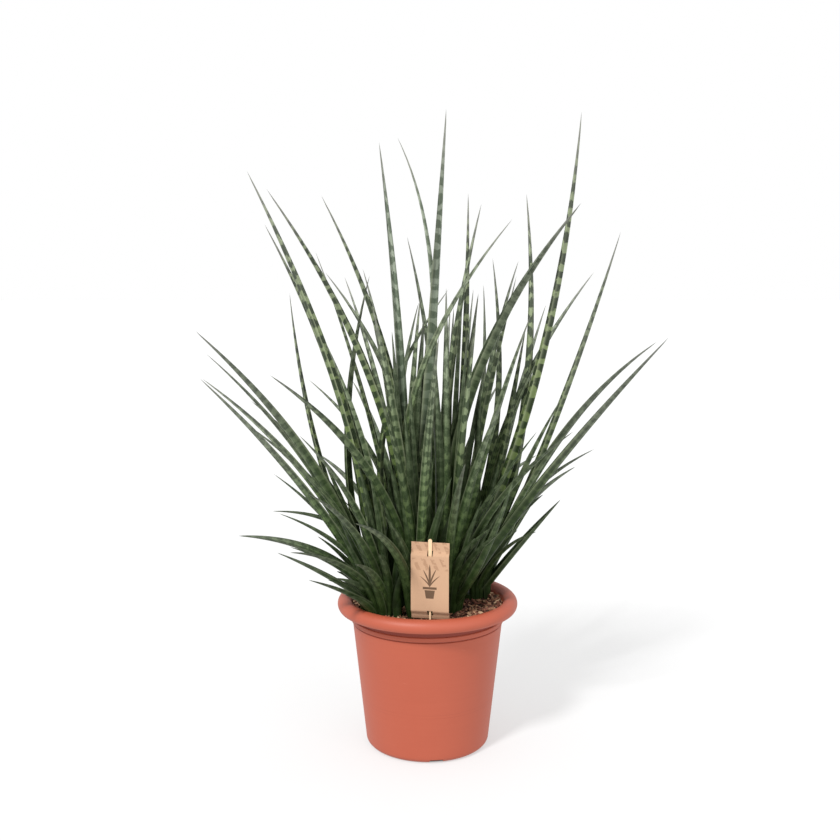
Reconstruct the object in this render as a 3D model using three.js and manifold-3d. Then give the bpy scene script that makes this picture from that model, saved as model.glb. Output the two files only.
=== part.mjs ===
// Potted fernwood punk snake plant: a tapered nursery pot with a rolled rim, filled with bark mulch, nine
// rosettes of narrow channelled leaves, and a kraft card tag on a flat wooden stick.
// Millimetres, +Z up. The origin is the centre of the pot's base, on the surface that the pot stands on.
import * as THREE from 'three';
import { mergeVertices } from 'three/addons/utils/BufferGeometryUtils.js';
import Module from 'manifold-3d';

const wasm = await Module();
wasm.setup();

// Fit
const GAP = 0.3; // clear air between neighbouring pieces
const OVERCUT = 1; // how far a cutter runs past what it cuts

// Pot: heights and radii of its outside, from the foot up to the rolled rim
const BASE_R = 71.6; // where the wall meets the foot's fillet
const FOOT_FILLET = 7.4;
const FOOT_STEPS = 3;
const WALL = 2.6;
const COLLAR_R = 88.1; // the slightly wider band under the rim
const COLLAR_Z = 145.4; // the small step below that band
const COLLAR_STEP = 1.5;
const GROOVE = { r: 86.6, from: 151.2, to: 159.2, slope: 0.6 }; // between the band and the rim
const RIM_R = 95.5; // centre of the rolled rim's tube, from the pot's axis
const RIM_TUBE_R = 8.5;
const RIM_Z = 165.6; // height of the tube's centre
const RIM_ARC = { from: -36, to: 150, steps: 7 }; // degrees round the tube, from its lower edge over its top
const FLOOR_TOP = 6;
const FLOOR_ROUND = 4; // radius of the corner between the floor and the inside of the wall
const FOOT_RING_IN = 60; // the foot is a ring, with a shallow recess inside it
const RECESS = 3;
const RECESS_SLOPE = 2;
const PAD_R = 18; // flat pad in the middle of the recess, level with the foot
const HOLE = { r: 5, circle: 40, count: 6, sides: 12 }; // drainage holes
const NOTCH = { width: 15.5, height: 4.2, from: 58, to: 78, count: 4, turn: -82 };
const SIDES = 40; // of the pot and of the soil in it, whose flat sides lie face to face

// Soil: nearly level in the middle and raised towards the rim
const SOIL_Z = 160;
const SOIL_EDGE = { from: 60, to: 82, rise: 5 };
const SOIL_RELIEF = { height: 1.6, fine: [0.31, 0.27], coarse: [0.13, 0.19], share: 0.6, shift: [1.2, 0.7] };
const SOIL_RINGS = 5;

// Shoots
const FOOT_Z = 161.5; // where the leaves start, just above the mulch
const STEM_R = 15.5;
const STEM_DEPTH = 40; // how far a short stem reaches down into the mulch
const STEM_CROWN = 7; // height of the stem's rounded top above the mulch
const STEM_POINT = { r: 0.6, up: 0.3 }; // the buried end narrows to this share of its radius over this share
const STEM_TOP = { r: 0.75, low: 1, peak: 2 }; // the crown rounds over from low to its peak
const STEM_SIDES = 12;
const FOOT_OFFSET = 8; // from the stem's axis to where a leaf starts
const BEND_AT = 0.45; // where along its chord a leaf bends most
const LONG_LEAF = { over: 190, rings: 6 };
const SHORT_LEAF = { rings: 4 };
const TIP_WIDTH = 1.3;
const TAPER = 2.5; // a leaf narrows slowly at first and fast near its tip
const LEAF_FOOT = { width: 0.82, length: 0.2 }; // a leaf is a little narrower at its foot
const CHANNEL = { edge: 0.6, keel: -0.55, keelHalf: 0.6, foot: -0.05, tip: 0.5 }; // section, in half widths

// Tag and stick. The card's ends lie behind the straight stick and its middle in front of it.
const TAG = { x: 2.5, y: -75, bottom: 169, width: 42, height: 85, thick: 1, turn: -12 };
const STICK = { width: 4.2, thick: 1.6, bottom: 135, over: 4 };
const STICK_FRONT = -(STICK.thick + GAP);
const CARD_EASE = 0.1; // extra play between card and stick
const CARD_BOW = STICK.thick + TAG.thick + 2 * GAP + CARD_EASE; // how far the card's middle stands out
const SLOT = { width: 6, low: 3.5, high: 70, height: 6, cut: 20 }; // each spans a stretch of the card's bend
const CARD_STEPS = 18;

const MATERIALS = {
  pot: { color: 0xc86a54, roughness: 0.55, metalness: 0 },
  soil: { color: 0x5c4438, roughness: 0.95, metalness: 0 },
  leaf: { color: 0x4c6a46, roughness: 0.5, metalness: 0 },
  card: { color: 0xd3a682, roughness: 0.85, metalness: 0 },
  stick: { color: 0xe6cba0, roughness: 0.75, metalness: 0 },
};

// Each shoot stands at (x, y). A leaf is [tip x, tip y, tip z, bow, width, bend]: bow is how far the leaf's
// arch stands off the straight line from its foot to its tip, up and inwards where it is positive, and bend,
// where it is given, is how far along that line the arch is sharpest.
const SHOOTS = {
  front_left: { at: [-42, -37], leaves: [
    [-200, 0, 655, 26, 15], [-160, -80, 287, 21, 11], [-160, -100, 249, 6, 11], [-125, -120, 225, 5, 10],
    [-210, -45, 254, 26, 13], [-235, -110, 435, 15, 12], [-195, -60, 380, 25, 10], [-118, -185, 330, 25, 11],
    [-130, -140, 380, 25, 11], [-110, -60, 470, 20, 13], [-75, -150, 250, 15, 11], [-151, -60, 245, 14, 11],
    [-140, -150, 262, 20, 11], [-100, -95, 220, 10, 11], [-52, -110, 250, 15, 12], [-90, -75, 300, 15, 12]] },
  left: { at: [-56, 18], leaves: [
    [-255, -30, 480, 28, 19], [-255, 0, 425, 26, 13], [-260, 50, 450, 26, 11], [-180, 30, 310, 16, 11],
    [-180, 10, 270, 40, 11], [-120, 70, 235, 10, 9], [-190, 60, 600, 30, 13], [-215, 90, 390, 30, 10],
    [-165, 130, 300, 25, 11], [-120, 60, 460, 20, 14], [-175, 60, 330, 20, 11], [-165, 85, 520, -23, 10],
    [-66, 22, 541, -32, 11], [-120, 0, 335, 5, 13]] },
  front: { at: [-10, -36], leaves: [
    [-170, -60, 630, 41, 16], [-160, -130, 440, 40, 13], [90, -50, 600, 65, 11], [-72, -185, 300, 25, 11],
    [-50, -120, 420, 20, 12], [10, -150, 480, 20, 12], [-60, -60, 510, 10, 15], [-45, -110, 290, 15, 12],
    [25, -95, 330, 10, 13], [-40, -80, 250, 10, 12]] },
  middle: { at: [-22, 2], leaves: [
    [20, -10, 720, 0, 20, 0.8], [-120, 20, 630, 40, 14], [-55, 30, 690, 14, 13], [-34, 4, 692, 40, 12, 0.7],
    [-60, 0, 490, 10, 15], [-8, -26, 519, 15, 12], [-62, -5, 320, 10, 13], [0, -20, 380, 10, 14]] },
  front_right: { at: [20, -16], leaves: [
    [170, 0, 620, 55, 23], [255, -70, 475, 10, 17], [90, -100, 330, -10, 10], [120, -40, 370, 15, 11],
    [50, -80, 490, 5, 11], [60, 10, 620, 25, 13], [20, -25, 527, -5, 13], [35, -190, 360, 25, 11],
    [75, -150, 420, 20, 12], [110, -60, 500, 10, 14], [150, -110, 380, 25, 12], [70, -70, 270, 15, 12],
    [78, -92, 270, 12, 11], [45, -10, 400, 5, 14], [50, -88, 262, 12, 12], [87, -62, 330, 14, 12]] },
  right: { at: [52, 32], leaves: [
    [220, 30, 590, -9, 13], [265, 30, 465, 28, 15, 0.6], [150, -20, 290, 2, 13], [120, -50, 260, 15, 9],
    [200, 60, 335, 30, 10], [180, 110, 335, 5, 10], [200, 90, 545, 40, 12], [115, 150, 560, 45, 10],
    [155, 190, 505, 15, 10], [128, 120, 420, 20, 13], [190, 140, 300, 25, 11], [114, 40, 480, 0, 14],
    [178, -10, 392, 14, 12], [140, 60, 280, 15, 12], [150, 0, 400, 8, 13], [115, 60, 635, -34, 13]] },
  back_left: { at: [-22, 48], leaves: [
    [-10, 80, 510, 60, 10], [-135, 100, 570, 15, 10], [-125, 120, 545, 60, 11], [-105, 170, 540, 30, 10],
    [-80, 140, 550, 30, 10], [25, 60, 525, 60, 11], [-150, 150, 410, 45, 10], [-100, 240, 400, 40, 12],
    [-60, 230, 280, 30, 11], [-70, 120, 500, 20, 13], [-150, 210, 308, 30, 11], [-40, 190, 480, 20, 12],
    [-70, 110, 300, 15, 12]] },
  middle_right: { at: [20, 24], leaves: [
    [79, 100, 562, -56, 11], [47, 50, 635, -9, 14], [60, 60, 520, 5, 14], [100, 10, 540, 5, 14],
    [30, 20, 505, 5, 14], [35, 50, 340, 5, 13], [170, 10, 720, -29, 17]] },
  back: { at: [12, 60], leaves: [
    [70, 130, 530, -35, 11], [-25, 150, 590, 45, 10], [60, 180, 525, -5, 10], [100, 240, 400, 35, 12],
    [60, 250, 260, 30, 11], [0, 260, 360, 35, 11], [30, 170, 500, 10, 12], [150, 230, 300, 30, 11],
    [10, 210, 480, 20, 12], [20, 150, 320, 15, 12]] },
};

// A closed three.js geometry as a solid for cutting and joining.
function solid(geometry) {
  const bare = geometry.clone();
  for (const name of Object.keys(bare.attributes)) {
    if (name !== 'position') bare.deleteAttribute(name);
  }
  const merged = mergeVertices(bare, 1e-4);
  const mesh = new wasm.Mesh({
    numProp: 3,
    vertProperties: new Float32Array(merged.attributes.position.array),
    triVerts: new Uint32Array(merged.index.array),
  });
  return new wasm.Manifold(mesh);
}

function toGeometry(body) {
  const mesh = body.getMesh();
  const geometry = new THREE.BufferGeometry();
  geometry.setAttribute('position', new THREE.BufferAttribute(new Float32Array(mesh.vertProperties), 3));
  geometry.setIndex(new THREE.BufferAttribute(new Uint32Array(mesh.triVerts), 1));
  geometry.computeVertexNormals();
  return geometry;
}

function cylinder(radius, z0, z1, x, y, sides) {
  const geometry = new THREE.CylinderGeometry(radius, radius, z1 - z0, sides);
  geometry.rotateX(Math.PI / 2);
  geometry.translate(x, y, (z0 + z1) / 2);
  return solid(geometry);
}

function box(width, depth, height, x, y, z) {
  const geometry = new THREE.BoxGeometry(width, depth, height);
  geometry.translate(x, y, z);
  return geometry;
}

function lathe(points, sides) {
  const geometry = new THREE.LatheGeometry(points.map(([r, z]) => new THREE.Vector2(r, z)), sides);
  geometry.rotateX(Math.PI / 2);
  return geometry;
}

// Points on an arc in a section, as [radius, height]. Angles are in degrees, from straight outwards, upwards.
function arc(r, z, radius, from, to, steps) {
  const points = [];
  for (let i = 0; i <= steps; i += 1) {
    const a = THREE.MathUtils.degToRad(from + (to - from) * i / steps);
    points.push([r + radius * Math.cos(a), z + radius * Math.sin(a)]);
  }
  return points;
}

// Radius of the pot's outer wall at a height between the foot and the band under the rim.
function wallRadius(z) {
  const top = COLLAR_R - COLLAR_STEP;
  return BASE_R + (top - BASE_R) * (z - FOOT_FILLET) / (COLLAR_Z - FOOT_FILLET);
}

function innerRadius(z) {
  return wallRadius(z) - WALL;
}

// The inside of the mouth flares from the top of the groove to the end of the rolled rim.
const MOUTH = arc(RIM_R, RIM_Z, RIM_TUBE_R, RIM_ARC.to, RIM_ARC.to, 1)[0];

function mouthRadius(z) {
  const share = (z - GROOVE.to) / (MOUTH[1] - GROOVE.to);
  return THREE.MathUtils.lerp(innerRadius(COLLAR_Z), MOUTH[0], share);
}

function potGeometry() {
  const inside = FLOOR_TOP + FLOOR_ROUND;
  const profile = [
    [0, 0], [PAD_R, 0], [PAD_R + RECESS_SLOPE, RECESS],
    [FOOT_RING_IN - RECESS_SLOPE, RECESS], [FOOT_RING_IN, 0],
    ...arc(BASE_R - FOOT_FILLET, FOOT_FILLET, FOOT_FILLET, -90, 0, FOOT_STEPS),
    [COLLAR_R - COLLAR_STEP, COLLAR_Z], [COLLAR_R, COLLAR_Z + COLLAR_STEP],
    [COLLAR_R, GROOVE.from - GROOVE.slope], [GROOVE.r, GROOVE.from], [GROOVE.r, GROOVE.to],
    ...arc(RIM_R, RIM_Z, RIM_TUBE_R, RIM_ARC.from, RIM_ARC.to, RIM_ARC.steps),
    [innerRadius(COLLAR_Z), GROOVE.to], [innerRadius(COLLAR_Z), COLLAR_Z], [innerRadius(inside), inside],
    [innerRadius(FLOOR_TOP) - FLOOR_ROUND, FLOOR_TOP], [0, FLOOR_TOP],
  ];
  let body = solid(lathe(profile, SIDES));
  for (let i = 0; i < HOLE.count; i += 1) {
    const a = 2 * Math.PI * i / HOLE.count;
    const [x, y] = [HOLE.circle * Math.cos(a), HOLE.circle * Math.sin(a)];
    body = body.subtract(cylinder(HOLE.r, -OVERCUT, FLOOR_TOP + OVERCUT, x, y, HOLE.sides));
  }
  for (let i = 0; i < NOTCH.count; i += 1) {
    const length = NOTCH.to - NOTCH.from;
    const notch = box(length, NOTCH.width, 2 * NOTCH.height, NOTCH.from + length / 2, 0, 0);
    notch.rotateZ(THREE.MathUtils.degToRad(NOTCH.turn + 360 * i / NOTCH.count));
    body = body.subtract(solid(notch));
  }
  return toGeometry(body);
}

// Height of the mulch: low uneven relief that fades out towards the rim, where the mulch lies higher.
function soilHeight(x, y) {
  const { height, fine, coarse, share, shift } = SOIL_RELIEF;
  const r = Math.hypot(x, y);
  const bumps = Math.sin(x * fine[0] + shift[0]) * Math.cos(y * fine[1])
    + share * Math.sin(x * coarse[0] - y * coarse[1] + shift[1]);
  const bank = SOIL_EDGE.rise * THREE.MathUtils.smoothstep(r, SOIL_EDGE.from, SOIL_EDGE.to);
  return SOIL_Z + bank + height * bumps * (1 - (r / RIM_R) ** 2);
}

function soilGeometry(holes) {
  const inside = FLOOR_TOP + FLOOR_ROUND;
  const edgeZ = SOIL_Z + SOIL_EDGE.rise;
  const edge = mouthRadius(edgeZ) - GAP;
  const profile = [[0, FLOOR_TOP + GAP], [innerRadius(FLOOR_TOP) - FLOOR_ROUND - GAP, FLOOR_TOP + GAP],
    [innerRadius(inside) - GAP, inside + GAP], [innerRadius(COLLAR_Z) - GAP, COLLAR_Z],
    [innerRadius(COLLAR_Z) - GAP, GROOVE.to]];
  for (let i = 0; i <= SOIL_RINGS; i += 1) profile.push([edge * (1 - i / SOIL_RINGS), edgeZ]);
  const geometry = lathe(profile, SIDES);
  const p = geometry.attributes.position;
  for (let i = 0; i < p.count; i += 1) {
    const atTop = p.getZ(i) > (GROOVE.to + edgeZ) / 2;
    if (atTop) p.setZ(i, soilHeight(p.getX(i), p.getY(i)));
  }
  let body = solid(geometry);
  for (const hole of holes) body = body.subtract(hole);
  return toGeometry(body);
}

// Half width of a leaf at t, from 0 at its foot to 1 at its tip.
function halfWidth(t, width) {
  const foot = THREE.MathUtils.lerp(LEAF_FOOT.width, 1, Math.min(1, t / LEAF_FOOT.length));
  return (TIP_WIDTH + (width - TIP_WIDTH) * (1 - t ** TAPER) * foot) / 2;
}

// Points across a leaf, as [across, inwards] in half widths. The channel closes towards the awl-shaped tip.
function leafSection(t) {
  const { edge, keel, keelHalf, foot, tip } = CHANNEL;
  const channel = THREE.MathUtils.lerp(foot, tip, t ** 3);
  return [[-1, edge], [-keelHalf, keel], [keelHalf, keel], [1, edge], [0, channel]];
}

function leafSolid([sx, sy], [tx, ty, tz, bow, width, bend = BEND_AT]) {
  const away = new THREE.Vector2(tx - sx, ty - sy).normalize();
  const foot = new THREE.Vector3(sx + FOOT_OFFSET * away.x, sy + FOOT_OFFSET * away.y, FOOT_Z);
  const tip = new THREE.Vector3(tx, ty, tz);
  const chord = tip.clone().sub(foot);
  const out = new THREE.Vector3(away.x, away.y, 0);
  const across = new THREE.Vector3(-out.y, out.x, 0);
  const inwards = new THREE.Vector3().crossVectors(chord, across).normalize().negate();
  if (inwards.z < 0) inwards.negate();
  const sharpest = foot.clone().addScaledVector(chord, bend).addScaledVector(inwards, 2 * bow);
  const line = new THREE.QuadraticBezierCurve3(foot, sharpest, tip);
  const rings = chord.length() > LONG_LEAF.over ? LONG_LEAF.rings : SHORT_LEAF.rings;
  const points = [];
  for (let i = 0; i <= rings; i += 1) {
    const t = i / rings;
    const centre = line.getPoint(t);
    const up = new THREE.Vector3().crossVectors(line.getTangent(t), across).normalize();
    if (up.dot(inwards) < 0) up.negate();
    const half = halfWidth(t, width);
    for (const [a, b] of leafSection(t)) {
      points.push(centre.clone().addScaledVector(across, a * half).addScaledVector(up, b * half));
    }
  }
  return solid(loft(points, leafSection(0).length, rings));
}

// Joins rings of points into a closed skin, with a flat fan over each end.
function loft(points, sides, rings) {
  const index = [];
  for (let ring = 0; ring < rings; ring += 1) {
    for (let k = 0; k < sides; k += 1) {
      const a = ring * sides + k;
      const b = ring * sides + (k + 1) % sides;
      index.push(a, b, b + sides, a, b + sides, a + sides);
    }
  }
  const last = rings * sides;
  for (let k = 1; k < sides - 1; k += 1) {
    index.push(sides - 1, k, k - 1);
    index.push(last + sides - 1, last + k - 1, last + k);
  }
  const geometry = new THREE.BufferGeometry().setFromPoints(points);
  geometry.setIndex(index);
  return geometry;
}

function stemSolid([x, y]) {
  const bottom = SOIL_Z - STEM_DEPTH;
  const crown = SOIL_Z + STEM_CROWN;
  const profile = [
    [0, bottom], [STEM_R * STEM_POINT.r, bottom], [STEM_R, bottom + STEM_DEPTH * STEM_POINT.up],
    [STEM_R, SOIL_Z + STEM_TOP.low], [STEM_R * STEM_TOP.r, crown], [0, crown + STEM_TOP.peak]];
  const geometry = lathe(profile, STEM_SIDES);
  geometry.translate(x, y, 0);
  return solid(geometry);
}

// Leaves crowd round a stem, so small hollows between them are filled: only the outer skin is kept.
function outerSkin(body) {
  const skins = body.decompose();
  return skins.reduce((best, skin) => (skin.volume() > best.volume() ? skin : best));
}

function shootGeometry({ at, leaves }) {
  let body = stemSolid(at);
  for (const leaf of leaves) body = body.add(leafSolid(at, leaf));
  return toGeometry(outerSkin(body));
}

// How far the card stands in front of its ends, at a height above its lower edge.
function cardBow(height) {
  const rise = THREE.MathUtils.smoothstep(height, SLOT.low, SLOT.low + SLOT.height);
  const fall = THREE.MathUtils.smoothstep(height, SLOT.high, SLOT.high + SLOT.height);
  return CARD_BOW * (rise - fall);
}

function tagGeometry() {
  const half = TAG.width / 2;
  const points = [];
  for (let i = 0; i <= CARD_STEPS; i += 1) {
    const height = TAG.height * i / CARD_STEPS;
    const front = -cardBow(height);
    const back = front + TAG.thick;
    for (const [x, y] of [[-half, front], [half, front], [half, back], [-half, back]]) {
      points.push(new THREE.Vector3(x, y, TAG.bottom + height));
    }
  }
  let body = solid(loft(points, 4, CARD_STEPS));
  for (const low of [SLOT.low, SLOT.high]) {
    const middle = TAG.bottom + low + SLOT.height / 2;
    body = body.subtract(solid(box(SLOT.width, SLOT.cut, SLOT.height, 0, 0, middle)));
  }
  return toGeometry(body);
}

function stickBox(extra = 0) {
  const top = TAG.bottom + TAG.height + STICK.over;
  const height = top - STICK.bottom + extra;
  const y = STICK_FRONT + STICK.thick / 2;
  return box(STICK.width + 2 * extra, STICK.thick + 2 * extra, height, 0, y, top - height / 2);
}

// The plain hole that the stick stands in, in the pot's frame.
function stickHole() {
  const hole = stickBox(GAP);
  hole.rotateZ(THREE.MathUtils.degToRad(TAG.turn));
  hole.translate(TAG.x, TAG.y, 0);
  return solid(hole);
}

// The plain hole that a stem stands in, open at the top.
function stemHole([x, y]) {
  const top = SOIL_Z + SOIL_EDGE.rise + SOIL_RELIEF.height + OVERCUT;
  return cylinder(STEM_R + GAP, SOIL_Z - STEM_DEPTH - GAP, top, x, y, STEM_SIDES);
}

function mesh(name, geometry, look) {
  const node = new THREE.Mesh(geometry, new THREE.MeshStandardMaterial(MATERIALS[look]));
  node.name = name;
  return node;
}

const label = new THREE.Group();
label.position.set(TAG.x, TAG.y, 0);
label.rotation.z = THREE.MathUtils.degToRad(TAG.turn);
label.add(mesh('plant_tag', tagGeometry(), 'card'));
label.add(mesh('tag_stick', stickBox(), 'stick'));

const plant = new THREE.Group();
const holes = [...Object.values(SHOOTS).map(({ at }) => stemHole(at)), stickHole()];
plant.add(mesh('pot', potGeometry(), 'pot'));
plant.add(mesh('soil', soilGeometry(holes), 'soil'));
for (const [name, shoot] of Object.entries(SHOOTS)) {
  plant.add(mesh(`shoot_${name}`, shootGeometry(shoot), 'leaf'));
}
plant.add(label);

export default plant;
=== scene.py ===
# %% [markdown]
# # A punk snake plant in its nursery pot
# The frame holds the plant at its real size: a pot, its filling of mulch, nine leafy shoots, and a card tag
# on a stick. This lesson replaces those plain solids by finer pieces that keep their form, and gives each
# one the finish that the real thing has. Lengths are in metres, so a size in millimetres is multiplied by
# MM.

# %% Load the frame
import math
import random

import bpy
from mathutils import Matrix, Vector, noise


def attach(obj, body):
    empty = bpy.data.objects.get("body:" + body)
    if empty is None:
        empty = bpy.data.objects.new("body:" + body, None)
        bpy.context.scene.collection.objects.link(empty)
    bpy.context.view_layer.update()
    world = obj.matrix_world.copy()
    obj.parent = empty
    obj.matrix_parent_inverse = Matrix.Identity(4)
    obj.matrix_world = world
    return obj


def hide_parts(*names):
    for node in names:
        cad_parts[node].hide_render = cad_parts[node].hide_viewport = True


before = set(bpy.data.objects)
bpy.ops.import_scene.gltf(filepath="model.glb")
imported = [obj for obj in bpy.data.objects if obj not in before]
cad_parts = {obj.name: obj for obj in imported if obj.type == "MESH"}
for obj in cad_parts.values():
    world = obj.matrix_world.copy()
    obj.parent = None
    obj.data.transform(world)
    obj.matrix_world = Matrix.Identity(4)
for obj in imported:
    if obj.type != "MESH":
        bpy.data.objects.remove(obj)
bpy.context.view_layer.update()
MM = 0.001
print("nodes in the frame:", sorted(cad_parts))

# %% [markdown]
# ## Camera
# The photograph looks slightly down at the plant from a little over a metre. A camera that is only tilted,
# and not shifted, keeps the pot's sides leaning in as they do there.

# %% Camera
CAMERA_AT = (-0.0087, -1.200, 0.532)
CAMERA_TILT = math.radians(7.32)
FOCAL_PIXELS = 1065
PICTURE_PIXELS = 840
SENSOR_MM = 36

bpy.ops.object.camera_add(location=CAMERA_AT, rotation=(math.pi / 2 - CAMERA_TILT, 0, 0))
camera = bpy.context.object
camera.data.sensor_width = SENSOR_MM
camera.data.lens = SENSOR_MM * FOCAL_PIXELS / PICTURE_PIXELS
bpy.context.scene.camera = camera
print("lens:", round(camera.data.lens, 2), "mm")

# %% [markdown]
# ## Light and floor
# It is a bright studio: white all round, and a soft light far off at the front left, so that the pot throws
# a faint shadow back and to the right. A weaker and much wider one at the front right evens out the pot's
# two sides. The floor is a large pale sheet, a hair below the pot's foot so that the two never touch.

# %% Light and floor
KEY_FROM = (-0.55, -0.83, 1.0)
FILL_FROM = (0.6, -0.8, 0.35)
ROOM_LIGHT = 1.0
FLOOR_SIZE = 60
FLOOR_BELOW = -0.2 * MM


def far_light(name, direction, strength, spread):
    """A light so far off that it is even everywhere. The wider it is spread, the softer its shadows are."""
    bpy.ops.object.light_add(type="SUN", location=direction)
    light = bpy.context.object
    light.name = name
    light.data.energy = strength
    light.data.angle = math.radians(spread)
    light.rotation_euler = Vector(direction).to_track_quat("Z", "Y").to_euler()


far_light("key_light", KEY_FROM, strength=2.7, spread=9)
far_light("fill_light", FILL_FROM, strength=0.7, spread=50)

room = bpy.data.worlds.new("white_room")
room.use_nodes = True
room.node_tree.nodes["Background"].inputs["Color"].default_value = (1, 1, 1, 1)
room.node_tree.nodes["Background"].inputs["Strength"].default_value = ROOM_LIGHT
bpy.context.scene.world = room
bpy.context.scene.view_settings.view_transform = "Standard"

bpy.ops.mesh.primitive_plane_add(size=FLOOR_SIZE, location=(0, 0, FLOOR_BELOW))
floor = bpy.context.object
floor.name = "floor"

# %% [markdown]
# ## Shader arithmetic
# Materials here are sums and products of patterns. Wrapping a node's output in a small class lets them be
# written as ordinary arithmetic, so `1 - mask` adds the Math node by itself.

# %% Shader arithmetic
MIX_A = 6
MIX_B = 7
MIX_RESULT = 2


class Socket:
    """A node's output that can be used in sums."""

    def __init__(self, shader, output):
        self.shader = shader
        self.output = output

    def math(self, operation, first, second=0.0):
        return self.shader.node("ShaderNodeMath", {"operation": operation}, {0: first, 1: second})

    def __add__(self, other):
        return self.math("ADD", self, other)

    def __radd__(self, other):
        return self.math("ADD", other, self)

    def __sub__(self, other):
        return self.math("SUBTRACT", self, other)

    def __rsub__(self, other):
        return self.math("SUBTRACT", other, self)

    def __mul__(self, other):
        return self.math("MULTIPLY", self, other)

    def __rmul__(self, other):
        return self.math("MULTIPLY", other, self)

    def __truediv__(self, other):
        return self.math("DIVIDE", self, other)

    def __abs__(self):
        return self.math("ABSOLUTE", self)

    def sine(self):
        return self.math("SINE", self)

    def fraction(self):
        return self.math("FRACT", self)

    def power(self, exponent):
        return self.math("POWER", self, exponent)

    def smaller(self, other):
        return self.math("MINIMUM", self, other)

    def larger(self, other):
        return self.math("MAXIMUM", self, other)

    def rise(self, low, high):
        """0 below low, 1 above high, and smooth between them. It falls where low is the larger."""
        ends = {"Value": self, "From Min": low, "From Max": high}
        return self.shader.node("ShaderNodeMapRange", {"interpolation_type": "SMOOTHSTEP"}, ends)

    def other(self, name):
        return Socket(self.shader, self.output.node.outputs[name])


def set_stops(ramp, stops):
    """Gives a colour ramp its stops, each with a position and a colour. A new ramp has the two outer ones."""
    for position, _ in stops[1:-1]:
        ramp.elements.new(position)
    for element, (position, colour) in zip(ramp.elements, stops):
        element.position = position
        element.color = colour


class Shader:
    """A material that is being made. node() adds any node: its settings first, then its sockets."""

    def __init__(self, name):
        self.material = bpy.data.materials.new(name)
        self.material.use_nodes = True
        self.tree = self.material.node_tree
        self.tree.nodes.clear()

    def node(self, kind, settings=None, sockets=None, output=0):
        made = self.tree.nodes.new(kind)
        for name, value in (settings or {}).items():
            if name == "stops":
                set_stops(made.color_ramp, value)
            else:
                setattr(made, name, value)
        for name, value in (sockets or {}).items():
            if isinstance(value, Socket):
                self.tree.links.new(value.output, made.inputs[name])
            else:
                made.inputs[name].default_value = value
        return Socket(self, made.outputs[output]) if made.outputs else None

    def attribute(self, name):
        return self.node("ShaderNodeAttribute", {"attribute_name": name}, output="Fac")

    def place(self):
        """The point in the object's own coordinates, as x with its siblings Y and Z."""
        point = self.node("ShaderNodeTexCoord", output="Object")
        return self.node("ShaderNodeSeparateXYZ", {}, {0: point})

    def off_axis(self):
        """The distance from the upright axis through the origin, which is the pot's."""
        x = self.place()
        y = x.other("Y")
        return (x * x + y * y).power(0.5)

    def vector(self, x, y, z):
        return self.node("ShaderNodeCombineXYZ", {}, {0: x, 1: y, 2: z})

    def noise(self, vector, scale=1.0, detail=2.0):
        return self.node("ShaderNodeTexNoise", {}, {"Vector": vector, "Scale": scale, "Detail": detail})

    def mix(self, share, first, second):
        sockets = {0: share, MIX_A: first, MIX_B: second}
        return self.node("ShaderNodeMix", {"data_type": "RGBA"}, sockets, MIX_RESULT)

    def ramp(self, share, *stops):
        return self.node("ShaderNodeValToRGB", {"stops": stops}, {"Fac": share})

    def bump(self, height, distance):
        sockets = {"Height": height, "Distance": distance, "Strength": 1.0}
        return self.node("ShaderNodeBump", {}, sockets)

    def surface(self, colour, roughness, normal=None, **fixed):
        """The finished surface. Further settings that are even all over are given by name."""
        sockets = {"Base Color": colour, "Roughness": roughness}
        if normal:
            sockets["Normal"] = normal
        sockets.update({name.replace("_", " "): value for name, value in fixed.items()})
        skin = self.node("ShaderNodeBsdfPrincipled", {}, sockets)
        self.node("ShaderNodeOutputMaterial", {}, {"Surface": skin})
        return self.material


def paint(red, green, blue):
    """A colour as it is read off a screen, from 0 to 255, as the linear colour that a shader takes."""
    def linear(level):
        share = level / 255
        return share / 12.92 if share <= 0.04045 else ((share + 0.055) / 1.055) ** 2.4
    return (linear(red), linear(green), linear(blue), 1)


# %% [markdown]
# ## Floor finish
# The floor is pale and glows a little, as paper on a light table does. Where no shadow falls on it, it is
# as bright as the room behind it, and no horizon shows. Under the pot it is dark, because no light gets in
# there, and a floor that glowed there would shine up into the notches of the foot.

# %% Floor finish
FLOOR_WHITE = 0.32
FLOOR_GLOW = 0.50
COVERED_R = 62
UNCOVERED_R = 66
COVERED_FLOOR = paint(60, 54, 50)


def even_grey(level):
    return (level, level, level, 1)


def pale_floor():
    sheet = Shader("pale_floor")
    cloud = sheet.noise(sheet.node("ShaderNodeTexCoord", output="Object"), 3.0)
    white = sheet.mix(cloud, even_grey(FLOOR_WHITE), even_grey(FLOOR_WHITE + 0.01))
    covered = sheet.off_axis().rise(UNCOVERED_R * MM, COVERED_R * MM)
    white = sheet.mix(covered, white, COVERED_FLOOR)
    glow = sheet.mix(covered, even_grey(1), COVERED_FLOOR)
    return sheet.surface(white, 0.9, Specular_IOR_Level=0.1, Emission_Color=glow,
                         Emission_Strength=FLOOR_GLOW)


floor.data.materials.append(pale_floor())
print("floor:", floor.data.materials[0].name)

# %% [markdown]
# ## Modelling helpers
# The same few moves come back in every piece: start clean, pick points by where they are, apply a modifier,
# close and smooth the mesh, and settle the object at the origin so that its place is in its mesh.

# %% Modelling helpers
def start():
    """Leaves whatever was selected, so that an operator acts on the new piece alone."""
    if bpy.context.object and bpy.context.object.mode != "OBJECT":
        bpy.ops.object.mode_set(mode="OBJECT")
    bpy.ops.object.select_all(action="DESELECT")


def hold(piece):
    start()
    piece.select_set(True)
    bpy.context.view_layer.objects.active = piece


def edit(piece):
    """Goes into edit mode on the piece, with all of its points selected."""
    hold(piece)
    bpy.ops.object.mode_set(mode="EDIT")
    bpy.ops.mesh.select_mode(type="VERT")
    bpy.ops.mesh.select_all(action="SELECT")


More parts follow.
